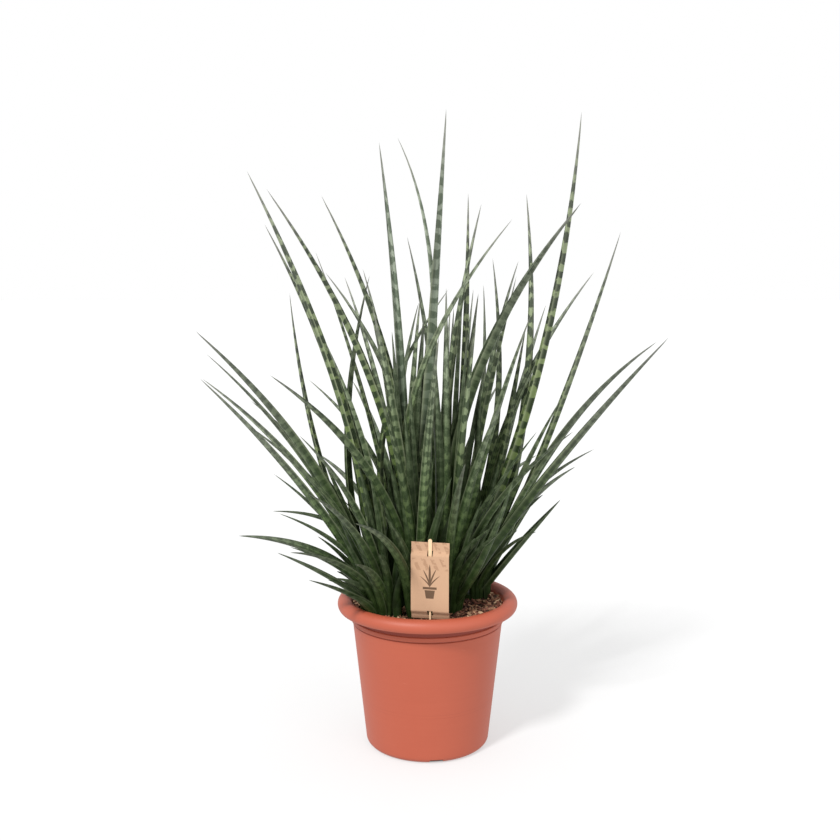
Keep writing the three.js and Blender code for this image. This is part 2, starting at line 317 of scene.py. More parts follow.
def pick(piece, chosen):
    """Selects, in edit mode, the points for which chosen(place) is true."""
    bpy.ops.mesh.select_all(action="DESELECT")
    bpy.ops.object.mode_set(mode="OBJECT")
    for vertex in piece.data.vertices:
        vertex.select = bool(chosen(vertex.co))
    bpy.ops.object.mode_set(mode="EDIT")


def done():
    bpy.ops.object.mode_set(mode="OBJECT")


def apply_modifier(piece, kind, **settings):
    hold(piece)
    modifier = piece.modifiers.new(kind.lower(), kind)
    for name, value in settings.items():
        setattr(modifier, name, value)
    bpy.ops.object.modifier_apply(modifier=modifier.name)


def cut(piece, cutter):
    """Takes the cutter's shape out of the piece, and removes the cutter."""
    apply_modifier(piece, "BOOLEAN", object=cutter, operation="DIFFERENCE", solver="MANIFOLD")
    bpy.data.objects.remove(cutter)


def settle(piece):
    hold(piece)
    bpy.ops.object.transform_apply(location=True, rotation=True, scale=True)


def close_up(piece, distance=0.01 * MM):
    """Merges doubled points and then turns the faces outwards."""
    edit(piece)
    bpy.ops.mesh.remove_doubles(threshold=distance)
    bpy.ops.mesh.normals_make_consistent(inside=False)
    done()


def smooth(piece, degrees):
    """Smooth shading, with a hard edge wherever two faces meet at more than this angle."""
    hold(piece)
    bpy.ops.object.shade_smooth_by_angle(angle=math.radians(degrees))


def copy_of(piece):
    """A copy with a mesh of its own."""
    twin = piece.copy()
    twin.data = piece.data.copy()
    bpy.context.collection.objects.link(twin)
    return twin


def join(pieces, name):
    start()
    for piece in pieces:
        piece.select_set(True)
    bpy.context.view_layer.objects.active = pieces[0]
    bpy.ops.object.join()
    joined = bpy.context.object
    joined.name = name
    joined.data.name = name
    return joined


def mark(piece, name, values):
    """Stores one number for each point under a name that a material can read."""
    stored = piece.data.attributes.new(name, "FLOAT", "POINT")
    stored.data.foreach_set("value", values)


def hand_in(piece, material, slot, *nodes):
    """The piece gets its finish, rides on the part's one body and stands for the nodes that it replaces."""
    if material:
        piece.data.materials.clear()
        piece.data.materials.append(material)
    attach(piece, "root")
    if nodes:
        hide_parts(*nodes)
    print(piece.name, "has", len(piece.data.polygons), "faces")


# %% [markdown]
# ## Pot
# The real pot is one injection-moulded shell: a tapered wall, a foot ring with a shallow recess, a small
# step in the wall, and a thick rim that is rolled outwards. All of it is round, so it is drawn as half a
# section, point by point, and spun about the pot's axis. The drain holes and the notches in the foot are
# cut afterwards.

# %% The pot's section
RIM_R = 95.5
RIM_TUBE_R = 8.5
RIM_Z = 165.6
RIM_FROM = -36
RIM_TO = 150
BASE_R = 71.6
FOOT_FILLET = 7.4
COLLAR_R = 88.1
COLLAR_Z = 145.4
COLLAR_STEP = 1.5
GROOVE_R = 86.6
GROOVE_FROM = 151.2
GROOVE_TO = 159.2
WALL = 2.6
FLOOR_TOP = 6
FLOOR_ROUND = 4
FOOT_RING_IN = 60
RECESS = 3
RECESS_SLOPE = 2
PAD_R = 18
SPIN_STEPS = 144


def wall_radius(z):
    """Outer radius of the wall at a height between the foot and the collar."""
    below = COLLAR_R - COLLAR_STEP
    return BASE_R + (below - BASE_R) * (z - FOOT_FILLET) / (COLLAR_Z - FOOT_FILLET)


def inner_radius(z):
    return wall_radius(z) - WALL


def arc(centre, radius, first, last, steps):
    """Points round a centre, from the first angle to the last one, in degrees."""
    turns = [math.radians(first + (last - first) * step / steps) for step in range(steps + 1)]
    return [(centre[0] + radius * math.cos(turn), centre[1] + radius * math.sin(turn)) for turn in turns]


def pot_section():
    """Half the section: from the middle of the base out and up the outside, then back down to the floor."""
    foot = [(0, 0), (PAD_R, 0), (PAD_R + RECESS_SLOPE, RECESS), (FOOT_RING_IN - RECESS_SLOPE, RECESS)]
    foot += [(FOOT_RING_IN, 0)]
    heel = arc((BASE_R - FOOT_FILLET, FOOT_FILLET), FOOT_FILLET, -90, 0, 8)
    wall = [(wall_radius(z), z) for z in range(20, 141, 10)]
    step = [(wall_radius(COLLAR_Z - 1.6), COLLAR_Z - 1.6), (wall_radius(COLLAR_Z) - 1, COLLAR_Z - 0.9)]
    step += [(wall_radius(COLLAR_Z) - 1, COLLAR_Z - 0.3)]
    band = [(COLLAR_R - 0.3, COLLAR_Z + 0.7), (COLLAR_R, COLLAR_Z + 1.2), (COLLAR_R, GROOVE_FROM - 1.0)]
    band += [(COLLAR_R - 0.4, GROOVE_FROM - 0.4), (GROOVE_R, GROOVE_FROM)]
    under = [(GROOVE_R, GROOVE_TO - 1), (GROOVE_R + 1, GROOVE_TO)]
    lip = arc((RIM_R, RIM_Z), RIM_TUBE_R, RIM_FROM, RIM_TO, 26)
    under += [(lip[0][0] - 1.4, lip[0][1] - 0.5), (lip[0][0] - 0.4, lip[0][1] - 0.4)]
    inside = [(inner_radius(COLLAR_Z), GROOVE_TO), (inner_radius(COLLAR_Z), COLLAR_Z)]
    inside += [(inner_radius(FLOOR_TOP + FLOOR_ROUND), FLOOR_TOP + FLOOR_ROUND)]
    inside += [(inner_radius(FLOOR_TOP) - 1.2, FLOOR_TOP + 1.2)]
    inside += [(inner_radius(FLOOR_TOP) - FLOOR_ROUND, FLOOR_TOP), (0, FLOOR_TOP)]
    return foot + heel + wall + step + band + under + lip + inside


section = pot_section()
print("points in the pot's section:", len(section))

# %% [markdown]
# A spun shape starts from a single point. Here it is what is left of a plane, and each further point of the
# section is extruded from the last one.

# %% Spin the pot
def draw_line(name, points):
    """One mesh line in the XZ plane through the points, which are (x, z) in millimetres."""
    start()
    bpy.ops.mesh.primitive_plane_add(size=1 * MM)
    line = bpy.context.object
    line.name = name
    edit(line)
    bpy.ops.mesh.merge(type="CENTER")
    x, z = points[0]
    bpy.ops.transform.translate(value=(x * MM, 0, z * MM))
    for next_x, next_z in points[1:]:
        move = ((next_x - x) * MM, 0, (next_z - z) * MM)
        bpy.ops.mesh.extrude_vertices_move(TRANSFORM_OT_translate={"value": move})
        x, z = next_x, next_z
    done()
    return line


def spin(piece, steps):
    edit(piece)
    bpy.ops.mesh.spin(steps=steps, angle=math.tau, center=(0, 0, 0), axis=(0, 0, 1))
    done()
    close_up(piece)


pot = draw_line("pot_shell", section)
spin(pot, SPIN_STEPS)
print("pot:", [round(side / MM, 1) for side in pot.dimensions], "mm")

# %% [markdown]
# The notches let water run out from under the pot, and the holes let it out of the pot. Both are taken out
# with solids that reach a little past the plastic, so that no skin is left standing.

# %% Notches and drain holes
HOLE_R = 5
HOLE_CIRCLE_R = 40
HOLE_COUNT = 6
HOLE_SIDES = 24
NOTCH_WIDTH = 15.5
NOTCH_HEIGHT = 4.2
NOTCH_FROM = 58
NOTCH_TO = 78
NOTCH_COUNT = 4
NOTCH_TURN = -82


def round_way(count, index, first=0.0):
    """The turn of one of several things that stand evenly round the pot."""
    return math.radians(first) + math.tau * index / count


def drain_hole(turn):
    start()
    at = (HOLE_CIRCLE_R * MM * math.cos(turn), HOLE_CIRCLE_R * MM * math.sin(turn), FLOOR_TOP / 2 * MM)
    bpy.ops.mesh.primitive_cylinder_add(vertices=HOLE_SIDES, radius=HOLE_R * MM, depth=2 * FLOOR_TOP * MM,
                                        location=at)
    return bpy.context.object


def foot_notch(turn):
    start()
    middle = (NOTCH_FROM + NOTCH_TO) / 2 * MM
    at = (middle * math.cos(turn), middle * math.sin(turn), 0)
    bpy.ops.mesh.primitive_cube_add(size=1, location=at, rotation=(0, 0, turn))
    notch = bpy.context.object
    notch.scale = ((NOTCH_TO - NOTCH_FROM) * MM, NOTCH_WIDTH * MM, 2 * NOTCH_HEIGHT * MM)
    settle(notch)
    apply_modifier(notch, "BEVEL", width=1 * MM, segments=3)
    return notch


for index in range(HOLE_COUNT):
    cut(pot, drain_hole(round_way(HOLE_COUNT, index)))
for index in range(NOTCH_COUNT):
    cut(pot, foot_notch(round_way(NOTCH_COUNT, index, NOTCH_TURN)))
smooth(pot, 30)
print("pot faces after cutting:", len(pot.data.polygons))

# %% [markdown]
# ## Pot plastic
# Moulded terracotta-coloured plastic is nearly even in colour. What keeps it from looking like a plain
# solid is small: cloudy patches from the pigment, faint rings from the mould, a few pale rubs, and a skin
# that is a little rougher in some places than in others. The groove under the rim and the small step below
# it are darker, because hardly any light gets into them.

# %% Pot plastic
MOULD_LINES = [55, 58.5]


def pot_plastic():
    plastic = Shader("terracotta_plastic")
    x = plastic.place()
    y = x.other("Y")
    z = x.other("Z")
    point = plastic.vector(x, y, z)
    cloud = plastic.noise(point, 14.0, 3.0)
    rings = plastic.noise(plastic.vector(0.0, 0.0, z), 190.0, 2.0)
    stretched = plastic.vector(x * 60, y * 60, z * 420)
    rub = plastic.noise(stretched, 1.0, 4.0).rise(0.70, 0.82)
    fine = plastic.noise(point, 1500.0, 2.0)
    shade = 0.55 * cloud + 0.25 * rings + 0.2 * fine
    colour = plastic.mix(shade, paint(154, 70, 48), paint(170, 84, 60))
    colour = plastic.mix(0.22 * rub, colour, paint(206, 140, 120))
    over_band = z.rise((GROOVE_FROM - 0.4) * MM, (GROOVE_FROM + 0.6) * MM)
    groove = over_band * z.rise(GROOVE_TO * MM, (GROOVE_TO - 0.6) * MM)
    undercut = 0.7 * abs(z - (COLLAR_Z - 0.4) * MM).rise(1.7 * MM, 0.5 * MM)
    colour = plastic.mix(0.7 * groove.larger(undercut), colour, paint(112, 30, 16))
    for level in MOULD_LINES:
        line = abs(z - level * MM).rise(0.5 * MM, 0.2 * MM)
        colour = plastic.mix(0.16 * line * cloud.rise(0.35, 0.6), colour, paint(120, 52, 36))
    roughness = 0.46 + 0.1 * cloud + 0.08 * rub
    height = 0.5 * rings + 0.5 * fine
    return plastic.surface(colour, roughness, plastic.bump(height, 0.12 * MM), Specular_IOR_Level=0.42)


hand_in(pot, pot_plastic(), "pot_plastic", "pot")

# %% [markdown]
# ## Mulch bed
# The pot is filled with fine bark and peat. Its top is uneven by a millimetre or two, and banked up a
# little along the rim. A disc of rings is grown outwards from a small circle, its outer ring is extruded
# down to the pot's floor, which makes it one closed filling, and its top is then raised or lowered by a
# formula.

# %% Mulch bed
SOIL_Z = 160
SOIL_RELIEF = 1.6
SOIL_CRUMB = 0.9
SOIL_RISE = 5
SOIL_RISE_FROM = 60
SOIL_RISE_TO = 82
SOIL_GAP = 0.3
BED_SIDES = 120
BED_RINGS = 30
BED_SMALLEST = 1.5


def ease(value, low, high):
    """0 up to low, 1 from high on, and smooth between them."""
    share = max(0.0, min(1.0, (value - low) / (high - low)))
    return share * share * (3 - 2 * share)


def mulch_height(x, y):
    """Height of the mulch at a place, in millimetres: uneven in the middle and banked up towards the rim."""
    radius = math.hypot(x, y)
    low = math.sin(x * 0.31 + 1.2) * math.cos(y * 0.27) + 0.6 * math.sin(x * 0.13 - y * 0.19 + 0.7)
    fine = noise.noise(Vector((x * 0.35, y * 0.35, 0)))
    bank = SOIL_RISE * ease(radius, SOIL_RISE_FROM, SOIL_RISE_TO)
    return SOIL_Z + bank + (SOIL_RELIEF * low + SOIL_CRUMB * fine) * (1 - (radius / RIM_R) ** 2)


def mouth_radius(z):
    """Radius of the pot's inside above the groove, where it flares to the end of the rolled rim."""
    end = arc((RIM_R, RIM_Z), RIM_TUBE_R, RIM_TO, RIM_TO, 1)[0]
    inner = inner_radius(COLLAR_Z)
    return inner + (end[0] - inner) * (z - GROOVE_TO) / (end[1] - GROOVE_TO)


def grow_ring(factor, lift=0.0, centre=(0, 0, 0)):
    """Extrudes the selected ring up or down, and makes it wider or narrower about an upright axis."""
    bpy.ops.mesh.extrude_region_move(TRANSFORM_OT_translate={"value": (0, 0, lift * MM)})
    bpy.ops.transform.resize(value=(factor, factor, 1), center_override=centre)


def mulch_bed():
    start()
    top = SOIL_Z + SOIL_RISE
    edge = mouth_radius(top) - SOIL_GAP
    place = (0, 0, top * MM)
    bpy.ops.mesh.primitive_circle_add(vertices=BED_SIDES, radius=BED_SMALLEST * MM, location=place,
                                      fill_type="TRIFAN")
    bed = bpy.context.object
    bed.name = "mulch_bed"
    settle(bed)
    edit(bed)
    pick(bed, lambda at: math.hypot(at.x, at.y) > 0.5 * BED_SMALLEST * MM)
    radii = [BED_SMALLEST + (edge - BED_SMALLEST) * ring / BED_RINGS for ring in range(BED_RINGS + 1)]
    for before, after in zip(radii, radii[1:]):
        grow_ring(after / before)
    neck = inner_radius(COLLAR_Z) - SOIL_GAP
    low_wall = inner_radius(FLOOR_TOP + FLOOR_ROUND) - SOIL_GAP
    grow_ring(neck / edge, GROOVE_TO - top)
    grow_ring(1, COLLAR_Z - GROOVE_TO)
    grow_ring(low_wall / neck, FLOOR_TOP + FLOOR_ROUND + SOIL_GAP - COLLAR_Z)
    grow_ring((inner_radius(FLOOR_TOP) - FLOOR_ROUND - SOIL_GAP) / low_wall, -FLOOR_ROUND)
    bpy.ops.mesh.edge_face_add()
    done()
    for vertex in bed.data.vertices:
        if vertex.co.z > (top - 1) * MM:
            vertex.co.z = mulch_height(vertex.co.x / MM, vertex.co.y / MM) * MM
    close_up(bed)
    smooth(bed, 60)
    return bed


bed = mulch_bed()
print("mulch bed:", [round(side / MM, 1) for side in bed.dimensions], "mm")

# %% [markdown]
# ## Bark chips
# What shows of the mulch is a litter of bark slivers and flakes, beige, brown and dark red, lying every
# way. Three chips are modelled: a sliver, a flake and a crumb. Each is a block with its ends broken off at
# a slant by bisect, and it has at most a few dozen faces, because it is repeated many hundred times.

# %% Three chips
CHIP_SEED = 41


def chip(name, bevel, skew):
    """A block one unit long, with broken ends and worn edges."""
    start()
    bpy.ops.mesh.primitive_cube_add(size=1)
    made = bpy.context.object
    made.name = name
    edit(made)
    bpy.ops.mesh.bisect(plane_co=(0.36, 0, 0), plane_no=(1, skew, 0.3), use_fill=True, clear_outer=True)
    bpy.ops.mesh.select_all(action="SELECT")
    bpy.ops.mesh.bisect(plane_co=(-0.38, 0, 0), plane_no=(-1, skew, -0.2), use_fill=True, clear_outer=True)
    bpy.ops.mesh.select_all(action="SELECT")
    bpy.ops.mesh.bisect(plane_co=(0, 0.3, 0.25), plane_no=(0.1, 1, 0.9), use_fill=True, clear_outer=True)
    done()
    if bevel:
        apply_modifier(made, "BEVEL", width=bevel, segments=1)
    close_up(made, 1 * MM)
    return made


chip_kinds = [chip("sliver", 0, 0.5), chip("flake", 0.08, -0.35), chip("crumb", 0.14, 0.15)]
print("faces of a chip:", [len(kind.data.polygons) for kind in chip_kinds])

# %% [markdown]
# Copies of the three are strewn over the bed. Seeded draws give each one its kind, a length, a width and a
# thickness within that kind's limits, a place, a lift off the bed, a tilt, a turn and a tone. A litter that
# is drawn from a seed is the same one every time.

# %% Strew the chips
CHIP_COUNT = 1700
CHIP_REACH = 87.5
CHIP_SIZES = [
    ((6, 15), (1.2, 2.6), (0.8, 1.6)),
    ((5, 11), (3, 6), (0.8, 1.6)),
    ((2, 5), (1.5, 3.5), (1.2, 2.6))]
CHIP_SHARES = [0.5, 0.25, 0.25]
CHIP_LIFT = (0.2, 2.6)


def strew(kinds, count, seed):
    draw = random.Random(seed)
    strewn = []
    for _ in range(count):
        kind = draw.choices(range(len(kinds)), CHIP_SHARES)[0]
        twin = copy_of(kinds[kind])
        length, width, thick = (draw.uniform(*limits) * MM for limits in CHIP_SIZES[kind])
        reach = CHIP_REACH - 0.4 * length / MM
        radius = reach * math.sqrt(draw.random())
        turn = draw.uniform(0, math.tau)
        x, y = radius * math.cos(turn), radius * math.sin(turn)
        lift = draw.uniform(*CHIP_LIFT)
        tilt = Matrix.Rotation(draw.gauss(0, 0.28), 4, "Y") @ Matrix.Rotation(draw.gauss(0, 0.5), 4, "X")
        shape = Matrix.Diagonal((length, width, thick, 1))
        place = Matrix.Translation((x * MM, y * MM, (mulch_height(x, y) + lift) * MM))
        twin.data.transform(place @ Matrix.Rotation(draw.uniform(0, math.tau), 4, "Z") @ tilt @ shape)
        mark(twin, "tone", [draw.random()] * len(twin.data.vertices))
        strewn.append(twin)
    return join(strewn, "bark_chips")


chips = strew(chip_kinds, CHIP_COUNT, CHIP_SEED)
for kind in chip_kinds:
    bpy.data.objects.remove(kind)
print("bark chips:", CHIP_COUNT)

# %% [markdown]
# ## Mulch finish
# The bed is dark, damp peat. Each chip takes its own tone from the number stored on it: most are brown,
# some are pale inner wood, and some dark red bark. Fibres run along the wood as fine streaks.

# %% Mulch finish
def peat():
    earth = Shader("dark_peat")
    point = earth.node("ShaderNodeTexCoord", output="Object")
    grain = earth.noise(point, 900.0, 5.0)
    patch = earth.noise(point, 160.0, 3.0)
    colour = earth.ramp(0.6 * grain + 0.4 * patch, (0.32, paint(30, 20, 17)), (0.5, paint(66, 46, 38)),
                        (0.64, paint(104, 78, 62)))
    return earth.surface(colour, 0.93, earth.bump(grain + patch, 1.2 * MM), Specular_IOR_Level=0.2)


def bark():
    wood = Shader("bark_mulch")
    tone = wood.attribute("tone")
    point = wood.node("ShaderNodeTexCoord", output="Object")
    grain = wood.noise(point, 1400.0, 4.0)
    patch = wood.noise(point, 420.0, 2.0)
    colour = wood.ramp(tone + 0.16 * (patch - 0.5),
                       (0.0, paint(52, 34, 28)), (0.22, paint(96, 58, 46)), (0.42, paint(132, 84, 66)),
                       (0.6, paint(140, 98, 74)), (0.78, paint(172, 132, 102)), (1.0, paint(206, 172, 138)))
    colour = wood.mix(0.45 * grain.rise(0.45, 0.75), colour, paint(64, 42, 34))
    return wood.surface(colour, 0.88, wood.bump(grain, 0.5 * MM), Specular_IOR_Level=0.25)


hand_in(bed, peat(), "mulch", "soil")
hand_in(chips, bark(), "mulch")

# %% [markdown]
# ## One leaf
# A leaf of this plant is a stiff, narrow blade with a deep channel on the side that faces the shoot's
# middle. The back is rounded, the two margins stand up as thin edges, and towards the tip the channel
# closes and the blade ends in a fine awl. All leaves are alike apart from their length, width and bend, so
# one blank is modelled along the X axis, one unit long and two wide, and bent copies of it make the whole
# plant. Its section is a closed ring of points, across and up: first round the back from margin to margin,
# then the channel.

# %% The leaf blank
LEAF_RINGS = 40
TAPER = 2.5
TIP_SHARE = 0.05
FOOT_SHARE = 0.84
FOOT_LENGTH = 0.2
CHANNEL_RISE = 0.55
LEAF_SECTION = [(-1.0, 0.60), (-0.93, 0.22), (-0.80, -0.16), (-0.60, -0.42), (-0.32, -0.57), (0.0, -0.62),
                (0.32, -0.57), (0.60, -0.42), (0.80, -0.16), (0.93, 0.22), (1.0, 0.60), (0.86, 0.44),
                (0.62, 0.20), (0.34, 0.02), (0.0, -0.06), (-0.34, 0.02), (-0.62, 0.20), (-0.86, 0.44)]


def leaf_width(along):
    """Share of the full width at a place along the leaf, from 0 at the foot to 1 at the tip."""
    foot = FOOT_SHARE + (1 - FOOT_SHARE) * min(1.0, along / FOOT_LENGTH)
    return TIP_SHARE + (1 - TIP_SHARE) * (1 - along ** TAPER) * foot


def channel_lift(across, along):
    """How far the floor of the channel has risen at a place along the leaf, where the channel closes."""
    return CHANNEL_RISE * along ** 3 * (1 - across * across)


def leaf_blank():
    start()
    sides = len(LEAF_SECTION)
    bpy.ops.mesh.primitive_circle_add(vertices=sides, radius=1)
    blank = bpy.context.object
    blank.name = "leaf_blank"
    for vertex, (across, up) in zip(blank.data.vertices, LEAF_SECTION):
        vertex.co = (0, up * leaf_width(0), across * leaf_width(0))
    edit(blank)
    step = 1 / LEAF_RINGS
    for ring in range(1, LEAF_RINGS + 1):
        narrower = leaf_width(ring * step) / leaf_width((ring - 1) * step)
        bpy.ops.mesh.extrude_region_move(TRANSFORM_OT_translate={"value": (step, 0, 0)})
        bpy.ops.transform.resize(value=(1, narrower, narrower), center_override=(ring * step, 0, 0))
    bpy.ops.mesh.merge(type="CENTER")
    pick(blank, lambda at: at.x < step / 2)
    bpy.ops.mesh.edge_face_add()
    done()
    return blank


blank = leaf_blank()
print("faces of a leaf:", len(blank.data.polygons))

# %% [markdown]
# The channel's floor is raised towards the tip, and each point is given its place along and across the
# leaf. The banding reads those two numbers, so that it follows the leaf however it is bent.

# %% Close the channel and mark the leaf
def shape_and_mark(blank):
    along = []
    across = []
    for vertex in blank.data.vertices:
        share = min(1.0, max(0.0, vertex.co.x))
        width = leaf_width(share)
        side = max(-1.0, min(1.0, vertex.co.z / width))
        height = vertex.co.y / width
        in_channel = height > 0.7 * abs(side) - 0.3
        if in_channel and share < 1:
            vertex.co.y += channel_lift(side, share) * width
        along.append(share)
        across.append(side)
    mark(blank, "along", along)
    mark(blank, "across", across)


shape_and_mark(blank)
close_up(blank, 0.1 * MM)
smooth(blank, 50)
print("leaf blank:", [round(side, 3) for side in blank.dimensions])

# %% [markdown]
# ## Where the leaves grow
# Each shoot stands at a place in the mulch, and each of its leaves is given by its tip, by how far it bows
# up and inwards from a straight line, and by its width, all in millimetres. They are set one after the
# other, until tips and crossings look right. A sixth number says how boldly a leaf is banded where that
# differs from the rule that steep leaves are bold and low ones plain. Close to 0 the leaf is plain and
# dark, and where the number is negative it is grey-green all over. A seventh says where along the leaf its
# bend is sharpest.

# %% Where the leaves grow
SHOOTS = {
    "front_left": ((-42, -37), [
        (-200, 0, 655, 26, 15, 0.85), (-160, -80, 287, 21, 11), (-160, -100, 249, 6, 11),
        (-125, -120, 225, 5, 10), (-210, -45, 254, 26, 13), (-235, -110, 435, 15, 12),
        (-195, -60, 380, 25, 10), (-118, -185, 330, 25, 11), (-130, -140, 380, 25, 11),
        (-110, -60, 470, 20, 13), (-75, -150, 250, 15, 11), (-151, -60, 245, 14, 11),
        (-140, -150, 262, 20, 11), (-100, -95, 220, 10, 11), (-52, -110, 250, 15, 12),
        (-90, -75, 300, 15, 12)]),
    "left": ((-56, 18), [
        (-255, -30, 480, 28, 19, 0.15), (-255, 0, 425, 26, 13), (-260, 50, 450, 26, 11),
        (-180, 30, 310, 16, 11), (-180, 10, 270, 40, 11), (-120, 70, 235, 10, 9),
        (-190, 60, 600, 30, 13, 0.8), (-215, 90, 390, 30, 10), (-165, 130, 300, 25, 11),
        (-120, 60, 460, 20, 14), (-175, 60, 330, 20, 11), (-165, 85, 520, -23, 10, 0.9),
        (-66, 22, 541, -32, 11), (-120, 0, 335, 5, 13)]),
    "front": ((-10, -36), [
        (-170, -60, 630, 41, 16, 0.85), (-160, -130, 440, 40, 13, 0.3), (90, -50, 600, 65, 11),
        (-72, -185, 300, 25, 11), (-50, -120, 420, 20, 12), (10, -150, 480, 20, 12),
        (-60, -60, 510, 10, 15), (-45, -110, 290, 15, 12), (25, -95, 330, 10, 13), (-40, -80, 250, 10, 12)]),
    "middle": ((-22, 2), [
        (20, -10, 720, 0, 20, -0.7, 0.8), (-120, 20, 630, 40, 14), (-55, 30, 690, 14, 13, -0.7),
        (-34, 4, 692, 40, 12, -0.6, 0.7), (-60, 0, 490, 10, 15), (-8, -26, 519, 15, 12),
        (-62, -5, 320, 10, 13), (0, -20, 380, 10, 14)]),
    "front_right": ((20, -16), [
        (170, 0, 620, 55, 23, 0.1), (255, -70, 475, 10, 17, 0.1), (90, -100, 330, -10, 10),
        (120, -40, 370, 15, 11), (50, -80, 490, 5, 11), (60, 10, 620, 25, 13), (20, -25, 527, -5, 13),
        (35, -190, 360, 25, 11), (75, -150, 420, 20, 12), (110, -60, 500, 10, 14), (150, -110, 380, 25, 12),
        (70, -70, 270, 15, 12), (78, -92, 270, 12, 11), (45, -10, 400, 5, 14), (50, -88, 262, 12, 12),
        (87, -62, 330, 14, 12)]),
    "right": ((52, 32), [
        (220, 30, 590, -9, 13), (265, 30, 465, 28, 15, 0.1, 0.6), (150, -20, 290, 2, 13),
        (120, -50, 260, 15, 9), (200, 60, 335, 30, 10), (180, 110, 335, 5, 10), (200, 90, 545, 40, 12),
        (115, 150, 560, 45, 10), (155, 190, 505, 15, 10), (128, 120, 420, 20, 13), (190, 140, 300, 25, 11),
        (114, 40, 480, 0, 14), (178, -10, 392, 14, 12), (140, 60, 280, 15, 12), (150, 0, 400, 8, 13),
        (115, 60, 635, -34, 13, 0.9)]),
    "back_left": ((-22, 48), [
        (-10, 80, 510, 60, 10), (-135, 100, 570, 15, 10), (-125, 120, 545, 60, 11),
        (-105, 170, 540, 30, 10), (-80, 140, 550, 30, 10), (25, 60, 525, 60, 11), (-150, 150, 410, 45, 10),
        (-100, 240, 400, 40, 12), (-60, 230, 280, 30, 11), (-70, 120, 500, 20, 13),
        (-150, 210, 308, 30, 11), (-40, 190, 480, 20, 12), (-70, 110, 300, 15, 12)]),
    "middle_right": ((20, 24), [
        (79, 100, 562, -56, 11), (47, 50, 635, -9, 14, 1.0), (60, 60, 520, 5, 14), (100, 10, 540, 5, 14),
        (30, 20, 505, 5, 14), (35, 50, 340, 5, 13), (170, 10, 720, -29, 17, 0.84)]),
    "back": ((12, 60), [
        (70, 130, 530, -35, 11), (-25, 150, 590, 45, 10), (60, 180, 525, -5, 10), (100, 240, 400, 35, 12),
        (60, 250, 260, 30, 11), (0, 260, 360, 35, 11), (30, 170, 500, 10, 12), (150, 230, 300, 30, 11),
        (10, 210, 480, 20, 12), (20, 150, 320, 15, 12)]),
}
print("leaves:", sum(len(leaves) for _, leaves in SHOOTS.values()))

# %% [markdown]
# ## Bend a leaf
# A leaf bends in one upright plane. Its line is therefore drawn as a flat Bezier curve, outwards along X
# and upwards along Y, and the Curve modifier lays a copy of the blank along it. A flat curve never twists,
# and its radius sets the leaf's width. The bent leaf is then turned up and round the shoot.

# %% Bend a leaf
FOOT_Z = 161.5
FOOT_OFFSET = 8
BEND_AT = 0.45
CURVE_STEPS = 24
LEAF_ROLL = 0.25


def leaf_line(rise, reach, bow, bend_at, half_width):
    """The curve of a leaf that rises and reaches outwards from the origin, and bows off its chord."""
    chord = Vector((reach, rise, 0))
    inwards = Vector((-rise, reach, 0)).normalized()
    bend = chord * bend_at + inwards * 2 * bow
    start()
    bpy.ops.curve.primitive_bezier_curve_add()
    line = bpy.context.object
    line.data.dimensions = "2D"
    line.data.fill_mode = "NONE"
    line.data.use_stretch = True
    line.data.use_deform_bounds = True
    line.data.use_radius = True
    line.data.resolution_u = CURVE_STEPS
    foot, tip = line.data.splines[0].bezier_points
    for point, place in ((foot, Vector()), (tip, chord)):
        point.handle_left_type = point.handle_right_type = "FREE"
        point.co = place
        point.radius = half_width
    foot.handle_left = -bend / 3
    foot.handle_right = bend * 2 / 3
    tip.handle_left = chord + (bend - chord) * 2 / 3
    tip.handle_right = chord + (chord - bend) / 3
    return line


def bent_leaf(blank, at, leaf, draw):
    tip_x, tip_y, tip_z, bow, width = (value * MM for value in leaf[:5])
    stem = Vector(at) * MM
    away = (Vector((tip_x, tip_y)) - stem).normalized()
    foot = stem + away * FOOT_OFFSET * MM
    reach = (Vector((tip_x, tip_y)) - foot).length
    rise = tip_z - FOOT_Z * MM
    bend_at = leaf[6] if len(leaf) > 6 else BEND_AT
    line = leaf_line(rise, reach, bow, bend_at, width / 2)
    made = copy_of(blank)
    made.data.transform(Matrix.Rotation(draw.gauss(0, LEAF_ROLL), 4, "X"))
    apply_modifier(made, "CURVE", object=line, deform_axis="POS_X")
    bpy.data.objects.remove(line)
    place = Matrix((
        (away.x, 0, away.y, foot.x),
        (away.y, 0, -away.x, foot.y),
        (0, 1, 0, FOOT_Z * MM),
        (0, 0, 0, 1)))
    made.data.transform(place)
    mark_leaf(made, leaf, reach / rise, math.hypot(reach, rise), draw)
    return made


# %% [markdown]
# The leaf's finish is one material for all leaves. What differs from leaf to leaf is stored on its points:
# how bold its bands are, how grey and how lime green it is, how much its neighbours shade it, its length,
# and a seed for its noise.

# %% Mark a leaf
LIME_FROM = 0.85
LIME_CHANCE = 0.15
DARK_BELOW = 0.12
PLAIN_DUSK = 0.45
MARKED_DUSK = 0.85


def boldness(leaf, lean, draw):
    """How boldly a leaf is banded: as the table says, or else the more the steeper it stands."""
    if len(leaf) > 5:
        return leaf[5]
    return max(0.1, min(0.75, 1.0 - 1.2 * lean)) * draw.uniform(0.2, 1.0)


def shade_of(leaf, bold, draw):
    """How much a leaf is shaded by its neighbours. The boldest leaves stand in the light."""
    if bold < 0 or bold >= DARK_BELOW:
        return (1 - 0.6 * abs(bold)) * draw.random() ** 1.5
    return MARKED_DUSK if len(leaf) > 5 else PLAIN_DUSK


